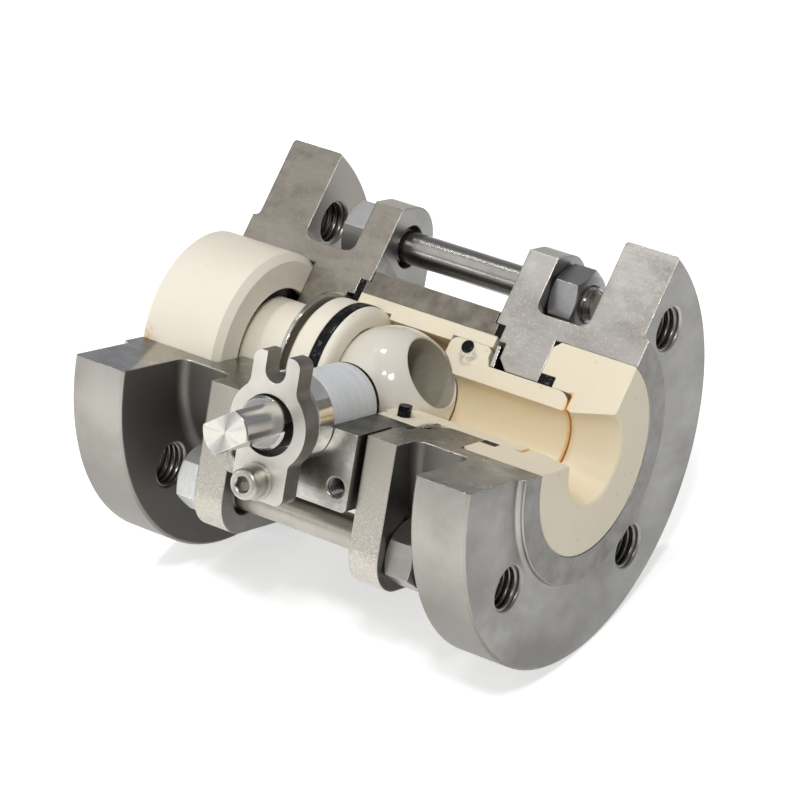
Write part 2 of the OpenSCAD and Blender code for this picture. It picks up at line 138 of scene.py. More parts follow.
def blendValue(tree, factor, a, b):
    node = tree.nodes.new("ShaderNodeMix")
    put(tree, node.inputs[0], factor)
    put(tree, node.inputs[2], a)
    put(tree, node.inputs[3], b)
    return node.outputs[0]


def tint(tree, tone, colour, mask, share, clamp=False):      # lays a share of a colour on where the mask is
    return blendColour(tree, times(tree, mask, share, clamp), tone, colour)


def remap(tree, value, low, high, toLow=0.0, toHigh=1.0):
    node = tree.nodes.new("ShaderNodeMapRange")
    for socket, v in zip(node.inputs, (value, low, high, toLow, toHigh)):
        put(tree, socket, v)
    return node.outputs[0]


def around(tree, mask, middle, less, more):      # a value that wanders with the mask
    return remap(tree, mask, 0, 1, middle - less, middle + more)


def noise(tree, vector, scale, detail=3.0, rough=0.55):
    node = tree.nodes.new("ShaderNodeTexNoise")
    put(tree, node.inputs["Vector"], vector)
    put(tree, node.inputs["Scale"], scale)
    node.inputs["Detail"].default_value = detail
    node.inputs["Roughness"].default_value = rough
    return node.outputs["Fac"]


def stretch(tree, vector, scale=(1, 1, 1), turn=(0, 0, 0)):
    node = tree.nodes.new("ShaderNodeMapping")
    put(tree, node.inputs["Vector"], vector)
    node.inputs["Rotation"].default_value = turn
    node.inputs["Scale"].default_value = scale
    return node.outputs[0]


def split(tree, vector):
    node = tree.nodes.new("ShaderNodeSeparateXYZ")
    put(tree, node.inputs[0], vector)
    return node.outputs


def join(tree, x, y, z):
    node = tree.nodes.new("ShaderNodeCombineXYZ")
    for socket, value in zip(node.inputs, (x, y, z)):
        put(tree, socket, value)
    return node.outputs[0]


def seenRays(tree):      # 1 for what the camera sees, also in a mirror or through glass
    path = tree.nodes.new("ShaderNodeLightPath").outputs
    seen = calc(tree, "MAXIMUM", path["Is Camera Ray"], path["Is Glossy Ray"])
    return calc(tree, "MAXIMUM", seen, path["Is Transmission Ray"])


studio = {
    # lamp: direction from the valve, distance, width, height, watts, colour
    "keyBox": ((-0.52, -0.42, 0.74), 1.25, 0.8, 0.8, 1.8, (1.0, 0.985, 0.96)),
    "topBox": ((0.33, -0.47, 0.82), 1.6, 0.20, 0.20, 9.0, (1.0, 0.99, 0.97)),
    "backBox": ((-0.30, 0.14, 0.94), 1.6, 0.14, 0.14, 5.0, (1.0, 0.99, 0.97)),
    "sideBox": ((0.10, -0.475, 0.875), 1.6, 0.12, 0.12, 2.4, (1.0, 1.0, 1.0)),
    "leftBox": ((-0.92, -0.42, 0.22), 1.4, 0.5, 0.7, 3.0, (1.0, 0.99, 0.97)),
    "stripBox": ((-0.50, 0.13, 0.856), 1.6, 0.30, 0.02, 0.30, (1.0, 1.0, 1.0)),
    "frontBox": ((-0.50, -0.82, 0.28), 1.4, 0.8, 0.12, 0.9, (1.0, 0.98, 0.94)),
}
backdrop = {
    "below": (1.0, 1.0, 1.0),
    "horizon": (0.50, 0.51, 0.53),
    "horizonAt": 0.03,
    "zenith": (0.22, 0.22, 0.225),
    "zenithAt": 0.75,
    "fill": 0.69,
    "floorColour": (0.86, 0.86, 0.86),
    "floorGlow": 0.58,
    "floorSize": 5.0,
    "floorGap": 0.2 * mm,
}


def addStudio(values):
    for name, (way, distance, wide, high, power, colour) in values.items():
        data = bpy.data.lights.new(name, "AREA")
        data.shape = "RECTANGLE"
        data.size = wide
        data.size_y = high
        data.energy = power
        data.color = colour
        lamp = bpy.data.objects.new(name, data)
        lamp.location = Vector(way).normalized() * distance
        lamp.rotation_euler = (-Vector(way)).to_track_quat("-Z", "Y").to_euler()
        scene.collection.objects.link(lamp)


def addWorld(values):
    world = bpy.data.worlds.new("studioWorld")
    scene.world = world
    world.use_nodes = True
    tree = world.node_tree
    tree.nodes.clear()
    coord = tree.nodes.new("ShaderNodeTexCoord")
    ramp = tree.nodes.new("ShaderNodeValToRGB")
    stops = ramp.color_ramp.elements
    stops[0].position = 0.0
    stops[0].color = (*values["below"], 1)
    stops[1].position = values["zenithAt"]
    stops[1].color = (*values["zenith"], 1)
    stops.new(values["horizonAt"]).color = (*values["horizon"], 1)
    put(tree, ramp.inputs[0], split(tree, coord.outputs["Generated"])["Z"])
    sky = tree.nodes.new("ShaderNodeBackground")
    put(tree, sky.inputs["Color"], ramp.outputs["Color"])
    put(tree, sky.inputs["Strength"], remap(tree, seenRays(tree), 0.0, 1.0, values["fill"], 1.0))
    out = tree.nodes.new("ShaderNodeOutputWorld")
    put(tree, out.inputs["Surface"], sky.outputs[0])


def addFloor(values):
    half = values["floorSize"] / 2
    low = cadBox[0][2] - values["floorGap"]
    mesh = bpy.data.meshes.new("floor")
    ring = [(-half, -half, low), (half, -half, low), (half, half, low), (-half, half, low)]
    mesh.from_pydata(ring, [], [(0, 1, 2, 3)])
    floor = bpy.data.objects.new("floor", mesh)
    scene.collection.objects.link(floor)
    material = bpy.data.materials.new("floorPaper")
    material.use_nodes = True
    tree = material.node_tree
    paper = tree.nodes["Principled BSDF"].inputs
    put(tree, paper["Base Color"], values["floorColour"])
    paper["Roughness"].default_value = 0.9
    paper["Specular IOR Level"].default_value = 0.1
    paper["Emission Color"].default_value = (1, 1, 1, 1)
    put(tree, paper["Emission Strength"], times(tree, seenRays(tree), values["floorGlow"]))
    mesh.materials.append(material)


addStudio(studio)
addWorld(backdrop)
addFloor(backdrop)
scene.view_settings.view_transform = "Standard"
print("studio set")


def useGroup(tree, group, **values):
    node = tree.nodes.new("ShaderNodeGroup")
    node.node_tree = group
    for label, value in values.items():
        put(tree, node.inputs[label], value)
    return node.outputs


def newGroup(name, inputs, outputs):
    group = bpy.data.node_groups.new(name, "ShaderNodeTree")
    for label, value in inputs.items():
        kind = "NodeSocketVector" if value is None else "NodeSocketFloat"
        socket = group.interface.new_socket(label, in_out="INPUT", socket_type=kind)
        if value is not None:
            socket.default_value = value
    for label in outputs:
        kind = "NodeSocketVector" if label.endswith("Normal") else "NodeSocketFloat"
        group.interface.new_socket(label, in_out="OUTPUT", socket_type=kind)
    start, end = group.nodes.new("NodeGroupInput"), group.nodes.new("NodeGroupOutput")
    return group, start.outputs, end.inputs


# Marks the two faces that the wedge cut left: the front one in line with the stem, and the upper one
def makeCutFaces(angle=120, reach=0.06 * mm):
    group, given, result = newGroup("cutFaces", {"Position": None}, ["Front Cut", "Upper Cut", "Any Cut"])
    x, y, z = split(group, given["Position"])
    front = calc(group, "LESS_THAN", calc(group, "ABSOLUTE", z), reach)
    front = times(group, front, calc(group, "LESS_THAN", y, 0.0))
    turn = math.radians(angle)
    slant = calc(group, "MULTIPLY_ADD", y, -math.sin(turn), times(group, z, -math.cos(turn)))
    upper = calc(group, "LESS_THAN", calc(group, "ABSOLUTE", slant), reach)
    upper = times(group, upper, calc(group, "GREATER_THAN", z, 0.0))
    put(group, result["Front Cut"], front)
    put(group, result["Upper Cut"], upper)
    put(group, result["Any Cut"], calc(group, "MAXIMUM", front, upper))
    return group


# Fine parallel lines that run along X, as milling and brushing leave them
def makeBrushLines():
    inputs = {"Position": None, "Across": 2600.0, "Along": 60.0}
    group, given, result = newGroup("brushLines", inputs, ["Lines"])
    scale = join(group, given["Along"], given["Across"], given["Across"])
    drawn = vectorCalc(group, "MULTIPLY", given["Position"], scale)[0]
    fine = noise(group, drawn, 1.0, 4.0, 0.6)
    put(group, result["Lines"], remap(group, fine, 0.28, 0.72))
    return group


# Turning marks about the pipe axis, and the distance from it
def makeTurnedRings():
    group, given, result = newGroup("turnedRings", {"Position": None, "Density": 2200.0}, ["Rings", "Radius"])
    x, y, z = split(group, given["Position"])
    radius = fromAxis(group, y, z)
    angle = times(group, calc(group, "ARCTAN2", y, z), 2.5)
    spun = join(group, times(group, radius, given["Density"]), angle, times(group, x, 40.0))
    fine = noise(group, spun, 1.0, 3.0, 0.6)
    put(group, result["Rings"], remap(group, fine, 0.28, 0.72))
    put(group, result["Radius"], radius)
    return group


# Soft patches, as handling and cleaning leave them
def makePatches():
    group, given, result = newGroup("patches", {"Position": None, "Size": 60.0}, ["Patches"])
    broad = noise(group, given["Position"], given["Size"], 4.0, 0.6)
    put(group, result["Patches"], remap(group, broad, 0.3, 0.7))
    return group


# Small dark pits and grains
def makeSpecks():
    inputs = {"Position": None, "Density": 900.0, "Share": 0.2}
    group, given, result = newGroup("specks", inputs, ["Specks"])
    cells = group.nodes.new("ShaderNodeTexVoronoi")
    put(group, cells.inputs["Vector"], given["Position"])
    put(group, cells.inputs["Scale"], given["Density"])
    chosen = calc(group, "LESS_THAN", split(group, cells.outputs["Color"])[0], given["Share"])
    dot = remap(group, cells.outputs["Distance"], 0.18, 0.34, 1.0, 0.0)
    put(group, result["Specks"], times(group, chosen, dot, clamp=True))
    return group


# Softened edges: the normal with a small radius put on each edge, and a mask along the edges
def makeSoftEdges():
    group, given, result = newGroup("softEdges", {"Width": 0.3 * mm}, ["Edge", "Round Normal"])
    bevel = group.nodes.new("ShaderNodeBevel")
    bevel.samples = 6
    put(group, bevel.inputs["Radius"], given["Width"])
    surface = group.nodes.new("ShaderNodeNewGeometry")
    dot = vectorCalc(group, "DOT_PRODUCT", bevel.outputs[0], surface.outputs["Normal"])["Value"]
    put(group, result["Edge"], remap(group, dot, 0.995, 0.86))
    put(group, result["Round Normal"], bevel.outputs[0])
    return group


cutFaces = makeCutFaces()
brushLines = makeBrushLines()
turnedRings = makeTurnedRings()
patches = makePatches()
specks = makeSpecks()
softEdges = makeSoftEdges()
print("surface effects built")


def patchy(tree, place, size):
    return useGroup(tree, patches, Position=place, Size=size)["Patches"]


def newMaterial(name):
    material = bpy.data.materials.new(name)
    material.use_nodes = True
    tree = material.node_tree
    coord = tree.nodes.new("ShaderNodeTexCoord")
    place = stretch(tree, coord.outputs["Object"], turn=(rollAngle, 0, 0))   # the valve's own axes
    return material, tree, place


# A face counts as square to an axis where that axis has more than 0.9 of its normal
def facesStem(tree):
    normal = tree.nodes["Texture Coordinate"].outputs["Normal"]
    return calc(tree, "LESS_THAN", split(tree, stretch(tree, normal, turn=(rollAngle, 0, 0)))[1], -0.9)


def facesPipe(tree):
    normal = tree.nodes["Texture Coordinate"].outputs["Normal"]
    return calc(tree, "GREATER_THAN", calc(tree, "ABSOLUTE", split(tree, normal)[0]), 0.9)


# The shader's other inputs come as a dictionary: each label with a number, a colour or a socket
def finishSurface(tree, colour, roughness, height, edges, bump, depth, others):
    shader = tree.nodes["Principled BSDF"].inputs
    put(tree, shader["Base Color"], colour)
    put(tree, shader["Roughness"], roughness)
    relief = tree.nodes.new("ShaderNodeBump")
    relief.inputs["Strength"].default_value = bump
    relief.inputs["Distance"].default_value = depth
    put(tree, relief.inputs["Height"], height)
    put(tree, relief.inputs["Normal"], edges)
    put(tree, shader["Normal"], relief.outputs[0])
    for label, value in others.items():
        put(tree, shader[label], value)


metal = {"Metallic": 1.0}
bodySteelValues = {
    "plateEnd": 29.3 * mm, "flangeStart": 45.6 * mm,      # along the pipe, from the ball's centre
    # rimShadedBottom and rimShade: painted shade that darkens the rims towards the bottom
    "rim": (0.455, 0.44, 0.407), "rimDark": (0.27, 0.257, 0.23), "rimShadedBottom": (0.145, 0.136, 0.12),
    "rimShade": (-12 * mm, -50 * mm), "rimRoughness": 0.38,
    "face": (0.185, 0.182, 0.175), "faceDark": (0.14, 0.136, 0.127), "facePale": (0.30, 0.297, 0.287),
    "faceRoughness": 0.36,
    "raised": (0.235, 0.23, 0.221), "raisedDark": (0.16, 0.155, 0.147), "raisedRadius": 34.2 * mm,
    # The neck colours between the flanges are painted shade, with painted light towards the top
    "inner": (0.19, 0.182, 0.166), "neckLitTop": (0.34, 0.32, 0.29), "neckShadedBottom": (0.10, 0.096, 0.088),
    "innerLight": (-10 * mm, 30 * mm), "innerShade": (-10 * mm, -45 * mm), "innerRoughness": 0.52,
    "lug": (0.50, 0.47, 0.41), "lugGrit": (0.86, 0.83, 0.76), "lugDark": (0.38, 0.355, 0.31),
    "lugShade": (-6 * mm, -30 * mm),
    "upperCut": (0.60, 0.585, 0.55), "upperDark": (0.34, 0.322, 0.295), "upperPale": (0.74, 0.73, 0.70),
    "upperHub": (0.36, 0.342, 0.315), "hubFade": (50 * mm, 36 * mm), "brushedFrom": (42 * mm, 52 * mm),
    "upperRoughness": 0.42,
    "leftCut": (0.33, 0.305, 0.265), "leftDark": (0.22, 0.20, 0.17), "leftPale": (0.40, 0.375, 0.33),
    "frontCut": (0.46, 0.445, 0.41), "frontDark": (0.22, 0.215, 0.21), "frontRoughness": 0.28,
    "frontBlue": (0.105, 0.108, 0.118), "frontWarm": (0.47, 0.435, 0.375),
    "blueLean": 0.46, "blueStart": 72 * mm, "blueEdge": (0.8 * mm, 2.2 * mm), "warmEdge": (2.2 * mm, 18 * mm),
    "hubTop": 31.75 * mm, "hubMiddle": 38 * mm, "hubHalf": 6.5 * mm,      # where a painted highlight line, with burrs, lies on the hub's root
    "grain": (0.15, 0.132, 0.11), "burrAndHighlight": (0.92, 0.90, 0.86), "highlightLineHalf": 0.3 * mm,
    "edgeWidth": 0.25 * mm, "roundWidth": 0.6 * mm,
}


# The outside of an end body: turned rims and faces, blasted lugs, and painted shade on the neck between the
# flanges
def bodySkin(tree, values, place, marks):
    broad, z = marks["broad"], marks["z"]
    rim = tint(tree, values["rim"], values["rimDark"], marks["rimLines"], 0.15)
    rim = blendColour(tree, remap(tree, broad, 0.35, 1.0, 0.0, 0.6), rim, values["rimDark"])
    # Painted shade: the rims darken towards the bottom
    rim = blendColour(tree, remap(tree, z, *values["rimShade"], 0.0, 0.85), rim, values["rimShadedBottom"])
    lug = tint(tree, values["lug"], values["lugDark"], broad, 0.8)
    blasted = remap(tree, noise(tree, place, 3600.0, 2.0, 0.6), 0.42, 0.68)
    lug = tint(tree, lug, values["lugGrit"], blasted, remap(tree, z, *values["lugShade"], 0.1, 0.6))
    rim = blendColour(tree, calc(tree, "LESS_THAN", marks["far"], values["plateEnd"]), rim, lug)
    cloud = patchy(tree, stretch(tree, place, (1, 0.7, 1.3)), 26.0)
    face = blendColour(tree, remap(tree, cloud, 0.2, 0.8), values["facePale"], values["face"])
    face = blendColour(tree, remap(tree, broad, 0.55, 0.9, 0.0, 0.4), face, values["faceDark"])
    face = tint(tree, face, values["faceDark"], marks["rings"], 0.12)
    worn = blendColour(tree, marks["small"], values["raised"], values["raisedDark"])
    raised = times(tree, marks["flat"], calc(tree, "LESS_THAN", marks["radius"], values["raisedRadius"]))
    face = blendColour(tree, raised, face, worn)
    colour = blendColour(tree, marks["flat"], rim, face)
    # Painted shade on the neck between the flanges: lighter towards the top, darker towards the bottom
    inner = blendColour(tree, remap(tree, z, *values["innerLight"]), values["inner"], values["neckLitTop"])
    inner = blendColour(tree, remap(tree, z, *values["innerShade"]), inner, values["neckShadedBottom"])
    return tint(tree, colour, inner, marks["between"], 0.92)


# The upper cut: sawn and blotchy, brushed towards the rims, darker on the left body and near the hub
def upperCutTone(tree, values, place, marks):
    left, small, radius = marks["left"], marks["small"], marks["radius"]
    blotch = patchy(tree, stretch(tree, place, (0.6, 1.3, 1.3)), 120.0)
    lines = useGroup(tree, brushLines, Position=place, Across=2600.0, Along=90.0)["Lines"]
    grains = useGroup(tree, specks, Position=place, Density=1500.0, Share=0.10)["Specks"]
    tone = blendColour(tree, left, values["upperCut"], values["leftCut"])
    dark = blendColour(tree, left, values["upperDark"], values["leftDark"])
    pale = blendColour(tree, left, values["upperPale"], values["leftPale"])
    tone = blendColour(tree, remap(tree, blotch, 0.3, 0.9, 0.0, 0.85), tone, dark)
    tone = blendColour(tree, remap(tree, small, 0.55, 0.95, 0.0, 0.6), tone, pale)
    nearHub = times(tree, remap(tree, radius, *values["hubFade"]), calc(tree, "SUBTRACT", 1.0, left))
    tone = tint(tree, tone, values["upperHub"], nearHub, 0.55)
    tone = tint(tree, tone, dark, lines, remap(tree, radius, *values["brushedFrom"], 0.14, 0.45))
    tone = tint(tree, tone, dark, marks["streaks"], 0.14)
    tone = blendColour(tree, remap(tree, marks["grit"], 0.6, 0.9, 0.0, 0.35), tone, pale)
    return tint(tree, tone, values["grain"], grains, 0.30)


# The front cut: smooth, with a blue and a warm strip along the slanting outer edge of the left body
def frontCutTone(tree, values, marks):
    tone = blendColour(tree, remap(tree, marks["broad"], 0.1, 0.9), values["frontCut"], values["frontDark"])
    tone = tint(tree, tone, values["frontDark"], marks["streaks"], 0.3)
    across = calc(tree, "MULTIPLY_ADD", marks["y"], values["blueLean"], marks["x"])
    across = calc(tree, "ADD", across, values["blueStart"])
    pastBlue = remap(tree, across, *values["blueEdge"])
    outer = blendColour(tree, pastBlue, values["frontBlue"], values["frontWarm"])
    outer = blendColour(tree, remap(tree, across, *values["warmEdge"]), outer, tone)
    return tint(tree, tone, outer, marks["left"], 0.85)


def makeBodySteel(name, values):
    material, tree, place = newMaterial(name)
    cuts = useGroup(tree, cutFaces, Position=place)
    turned = useGroup(tree, turnedRings, Position=place, Density=2400.0)
    streaks = useGroup(tree, brushLines, Position=place, Across=300.0, Along=22.0)["Lines"]
    rimLines = noise(tree, stretch(tree, place, (2600, 60, 60)), 1.0, 3.0)
    broad = patchy(tree, place, 42.0)
    small = patchy(tree, place, 190.0)
    grit = patchy(tree, place, 1500.0)
    soft = useGroup(tree, softEdges, Width=values["roundWidth"])
    edge = useGroup(tree, softEdges, Width=values["edgeWidth"])["Edge"]
    x, y, z = split(tree, place)
    flat = facesPipe(tree)
    far = calc(tree, "ABSOLUTE", x)
    between = times(tree, calc(tree, "GREATER_THAN", far, values["plateEnd"]),
                    calc(tree, "LESS_THAN", far, values["flangeStart"]))
    left = calc(tree, "LESS_THAN", x, 0.0)
    marks = {"x": x, "y": y, "z": z, "far": far, "left": left, "flat": flat, "between": between,
             "broad": broad, "small": small, "grit": grit, "streaks": streaks, "rimLines": rimLines,
             "rings": turned["Rings"], "radius": turned["Radius"]}

    colour = bodySkin(tree, values, place, marks)
    colour = blendColour(tree, cuts["Upper Cut"], colour, upperCutTone(tree, values, place, marks))
    colour = blendColour(tree, cuts["Front Cut"], colour, frontCutTone(tree, values, marks))
    # Painted highlight with burrs: a pale broken line on the hub's root in the front cut
    root = times(tree, cuts["Front Cut"], calc(tree, "COMPARE", y, -values["hubTop"], values["highlightLineHalf"]))
    root = times(tree, root, calc(tree, "COMPARE", far, values["hubMiddle"], values["hubHalf"]))
    colour = tint(tree, colour, values["burrAndHighlight"], root, remap(tree, grit, 0.1, 0.5, 0.25, 1.0))
    # Painted highlight and wear along the edges, strongest on the cuts
    bright = blendValue(tree, cuts["Any Cut"], remap(tree, small, 0.3, 0.8, 0.0, 0.4),
                        remap(tree, small, 0.2, 0.7, 0.25, 0.95))
    colour = tint(tree, colour, values["burrAndHighlight"], edge, bright)

    faceRoughness = around(tree, broad, values["faceRoughness"], 0.05, 0.10)
    roughness = blendValue(tree, flat, values["rimRoughness"], faceRoughness)
    roughness = blendValue(tree, between, roughness, values["innerRoughness"])
    upperRoughness = around(tree, small, values["upperRoughness"], 0.10, 0.08)
    roughness = blendValue(tree, cuts["Upper Cut"], roughness, upperRoughness)
    frontRoughness = around(tree, small, values["frontRoughness"], 0.05, 0.10)
    roughness = blendValue(tree, cuts["Front Cut"], roughness, frontRoughness)
    height = blendValue(tree, flat, rimLines, turned["Rings"])
    height = blendValue(tree, cuts["Upper Cut"], height, grit)
    height = blendValue(tree, cuts["Front Cut"], height, 0.5)
    finishSurface(tree, colour, roughness, height, soft["Round Normal"], 0.22, 0.05 * mm, metal)
    return material


plainSteels = {
    # finish: colour, darker patches, roughness, how fine the lines are along x, y and z, their depth, the
    # colour of painted highlight and wear along the edges
    "nutSteel": ((0.46, 0.46, 0.465), (0.27, 0.27, 0.275), 0.32, (900, 500, 500), 0.10, (0.95, 0.95, 0.94)),
    # A copy of the nut steel with painted light, twice as bright, for the front left nut
    "nutPaintedLight": ((0.92, 0.92, 0.91), (0.55, 0.55, 0.54), 0.32, (900, 500, 500), 0.18, (1.0, 1.0, 0.99)),
    "nutWarm": ((0.42, 0.40, 0.37), (0.27, 0.26, 0.24), 0.34, (900, 500, 500), 0.12, (0.95, 0.94, 0.92)),
    "rodSteel": ((0.44, 0.43, 0.41), (0.25, 0.244, 0.232), 0.22, (2, 700, 700), 0.015, (0.70, 0.70, 0.70)),
    "rodSatin": ((0.50, 0.475, 0.42), (0.32, 0.30, 0.26), 0.34, (2600, 40, 40), 0.04, (0.74, 0.73, 0.71)),
    "mirrorSteel": ((0.70, 0.68, 0.65), (0.55, 0.53, 0.50), 0.07, (60, 2400, 60), 0.04, (0.84, 0.83, 0.81)),
    "springSteel": ((0.56, 0.55, 0.52), (0.32, 0.305, 0.28), 0.20, (900, 900, 900), 0.12, (0.74, 0.73, 0.71)),
    "screwSteel": ((0.56, 0.54, 0.49), (0.34, 0.325, 0.29), 0.36, (700, 2400, 700), 0.10, (0.82, 0.80, 0.75)),
    "threadSteel": ((0.30, 0.29, 0.28), (0.16, 0.155, 0.15), 0.32, (900, 900, 900), 0.10, (0.62, 0.61, 0.60)),
}


def makePlainSteel(name, colour, dark, rough, drawn, depth, edge):
    material, tree, place = newMaterial(name)
    lines = noise(tree, stretch(tree, place, drawn), 1.0, 4.0, 0.6)
    lines = remap(tree, lines, 0.3, 0.7)
    broad = patchy(tree, place, 110.0)
    grains = useGroup(tree, specks, Position=place, Density=1300.0, Share=0.08)["Specks"]
    soft = useGroup(tree, softEdges, Width=0.3 * mm)
    tone = tint(tree, colour, dark, broad, 0.5)
    tone = tint(tree, tone, dark, lines, 0.3)
    tone = tint(tree, tone, dark, grains, 0.3)
    # Painted highlight and wear along the edges
    tone = tint(tree, tone, edge, soft["Edge"], 0.6)
    roughness = remap(tree, broad, 0, 1, rough * 0.85, rough * 1.25)
    finishSurface(tree, tone, roughness, lines, soft["Round Normal"], depth, 0.05 * mm, metal)
    return material


stemValues = {
    "side": (0.50, 0.495, 0.475), "sideDark": (0.33, 0.325, 0.31), "roughness": 0.17,
    "end": (0.86, 0.835, 0.76), "endDark": (0.46, 0.455, 0.44), "endRoughness": 0.27, "tip": 74 * mm,
    "edge": (0.84, 0.83, 0.81),
}


# The stem: drawn along its length; the turned end shades anisotropically, with a painted reflection of bright
# and dark radial streaks laid on it
def makeStemSteel(values):
    material, tree, place = newMaterial("stemSteel")
    lines = remap(tree, noise(tree, stretch(tree, place, (1500, 60, 1500)), 1.0, 4.0, 0.6), 0.3, 0.7)
    broad = patchy(tree, place, 110.0)
    soft = useGroup(tree, softEdges, Width=0.3 * mm)
    x, y, z = split(tree, place)
    end = times(tree, facesStem(tree), calc(tree, "LESS_THAN", y, -values["tip"]))
    here = tree.nodes["Texture Coordinate"].outputs["Object"]
    grooves = tree.nodes.new("ShaderNodeVectorTransform")
    grooves.vector_type = "VECTOR"
    grooves.convert_from = "OBJECT"
    grooves.convert_to = "WORLD"
    put(tree, grooves.inputs[0], vectorCalc(tree, "CROSS_PRODUCT", tuple(stemAxis), here)[0])
    tone = tint(tree, values["side"], values["sideDark"], lines, 0.6)
    tone = tint(tree, tone, values["sideDark"], broad, 0.4)
    # Painted reflection: bright and dark radial streaks on the turned end
    angle = calc(tree, "ARCTAN2", x, z)
    paintedRays = calc(tree, "SINE", calc(tree, "MULTIPLY_ADD", angle, 2.0, 1.135))
    paintedRayEnd = blendColour(tree, remap(tree, paintedRays, 0.55, 1.0, 0.0, 0.85), values["end"], values["endDark"])
    paintedRays = calc(tree, "SINE", calc(tree, "MULTIPLY_ADD", angle, 7.0, 0.4))
    paintedRayEnd = blendColour(tree, remap(tree, paintedRays, 0.5, 1.0, 0.0, 0.22), paintedRayEnd, values["endDark"])
    tone = blendColour(tree, end, tone, paintedRayEnd)
    # Painted highlight and wear along the edges
    tone = tint(tree, tone, values["edge"], soft["Edge"], 0.5)
    roughness = around(tree, broad, values["roughness"], 0.04, 0.08)
    roughness = blendValue(tree, end, roughness, values["endRoughness"])
    turned = {**metal, "Anisotropic": times(tree, end, 0.9), "Tangent": grooves.outputs[0]}
    finishSurface(tree, tone, roughness, lines, soft["Round Normal"], 0.10, 0.04 * mm, turned)
    return material


screwValues = {
    "steel": (0.60, 0.58, 0.53), "dark": (0.38, 0.365, 0.33), "socket": (0.30, 0.285, 0.25),
    "socketRadius": 2.45 * mm, "socketFrom": 0.5 * mm, "roughness": 0.36, "edge": (0.86, 0.84, 0.79),
}


# The gland screw: dull round the head, with painted shade down in its socket and painted highlight along its
# edges
def makeScrewSteel(values, mesh):
    material, tree, place = newMaterial("capScrewSteel")
    points = [toFrame.inverted() @ v.co for v in mesh.vertices]
    centre = [(min(p[i] for p in points) + max(p[i] for p in points)) / 2 for i in range(3)]
    top = min(p.y for p in points)
    broad = patchy(tree, place, 300.0)
    fine = noise(tree, stretch(tree, place, (700, 2400, 700)), 1.0, 3.0)
    soft = useGroup(tree, softEdges, Width=0.3 * mm)
    x, y, z = split(tree, place)
    off = fromAxis(tree, calc(tree, "SUBTRACT", x, centre[0]), calc(tree, "SUBTRACT", z, centre[2]))
    inside = times(tree, calc(tree, "LESS_THAN", off, values["socketRadius"]),
                   calc(tree, "GREATER_THAN", y, top + values["socketFrom"]))
    tone = blendColour(tree, broad, values["steel"], values["dark"])
    # Painted highlight and wear along the edges
    tone = tint(tree, tone, values["edge"], soft["Edge"], 0.6)
    # Painted shade down in the socket
    tone = blendColour(tree, inside, tone, values["socket"])
    roughness = around(tree, broad, values["roughness"], 0.05, 0.08)
    finishSurface(tree, tone, roughness, fine, soft["Round Normal"], 0.10, 0.04 * mm, metal)
    return material


centreValues = {
    "skin": (0.34, 0.325, 0.295), "skinDark": (0.20, 0.19, 0.17), "skinRoughness": 0.34,
    "pad": (0.78, 0.765, 0.71), "padDark": (0.42, 0.405, 0.365), "padRoughness": 0.26, "padFrom": 43.9 * mm,
    "upperCut": (0.27, 0.245, 0.21), "upperDark": (0.15, 0.135, 0.11),
    "frontCut": (0.24, 0.225, 0.20), "frontDark": (0.11, 0.105, 0.10),
    "cutRoughness": 0.42, "edge": (0.66, 0.64, 0.60),
}


# The centre body: a turned skin, a ground pad that mirrors its surroundings, and two dull cut faces
def makeCentreSteel(values):
    material, tree, place = newMaterial("centreSteel")
    cuts = useGroup(tree, cutFaces, Position=place)
    lines = useGroup(tree, brushLines, Position=place, Across=2600.0, Along=80.0)["Lines"]
    broad = patchy(tree, place, 75.0)
    blotch = patchy(tree, place, 230.0)
    soft = useGroup(tree, softEdges, Width=0.25 * mm)
    onPad = calc(tree, "LESS_THAN", split(tree, place)["Y"], -values["padFrom"])
    tone = blendColour(tree, broad, values["skin"], values["skinDark"])
    pad = blendColour(tree, remap(tree, broad, 0.25, 0.75), values["pad"], values["padDark"])
    upper = blendColour(tree, blotch, values["upperCut"], values["upperDark"])
    front = blendColour(tree, blotch, values["frontCut"], values["frontDark"])
    tone = blendColour(tree, onPad, tone, pad)
    tone = blendColour(tree, cuts["Upper Cut"], tone, upper)
    tone = blendColour(tree, cuts["Front Cut"], tone, front)
    # Painted highlight and wear along the edges
    tone = tint(tree, tone, values["edge"], soft["Edge"], remap(tree, blotch, 0.2, 0.8, 0.2, 0.7))
    roughness = around(tree, broad, values["skinRoughness"], 0.06, 0.1)
    roughness = blendValue(tree, onPad, roughness, values["padRoughness"])
    roughness = blendValue(tree, cuts["Any Cut"], roughness, values["cutRoughness"])
    finishSurface(tree, tone, roughness, lines, soft["Round Normal"], 0.14, 0.05 * mm, metal)
    return material


plateValues = {
    "face": (0.79, 0.762, 0.71), "faceDark": (0.66, 0.635, 0.585),
    "side": (0.29, 0.276, 0.248), "sideDark": (0.19, 0.18, 0.162),
    "hole": (0.97, 0.90, 0.80), "holeRadius": 8.4 * mm, "roughness": 0.52, "edge": (0.80, 0.79, 0.77),
}


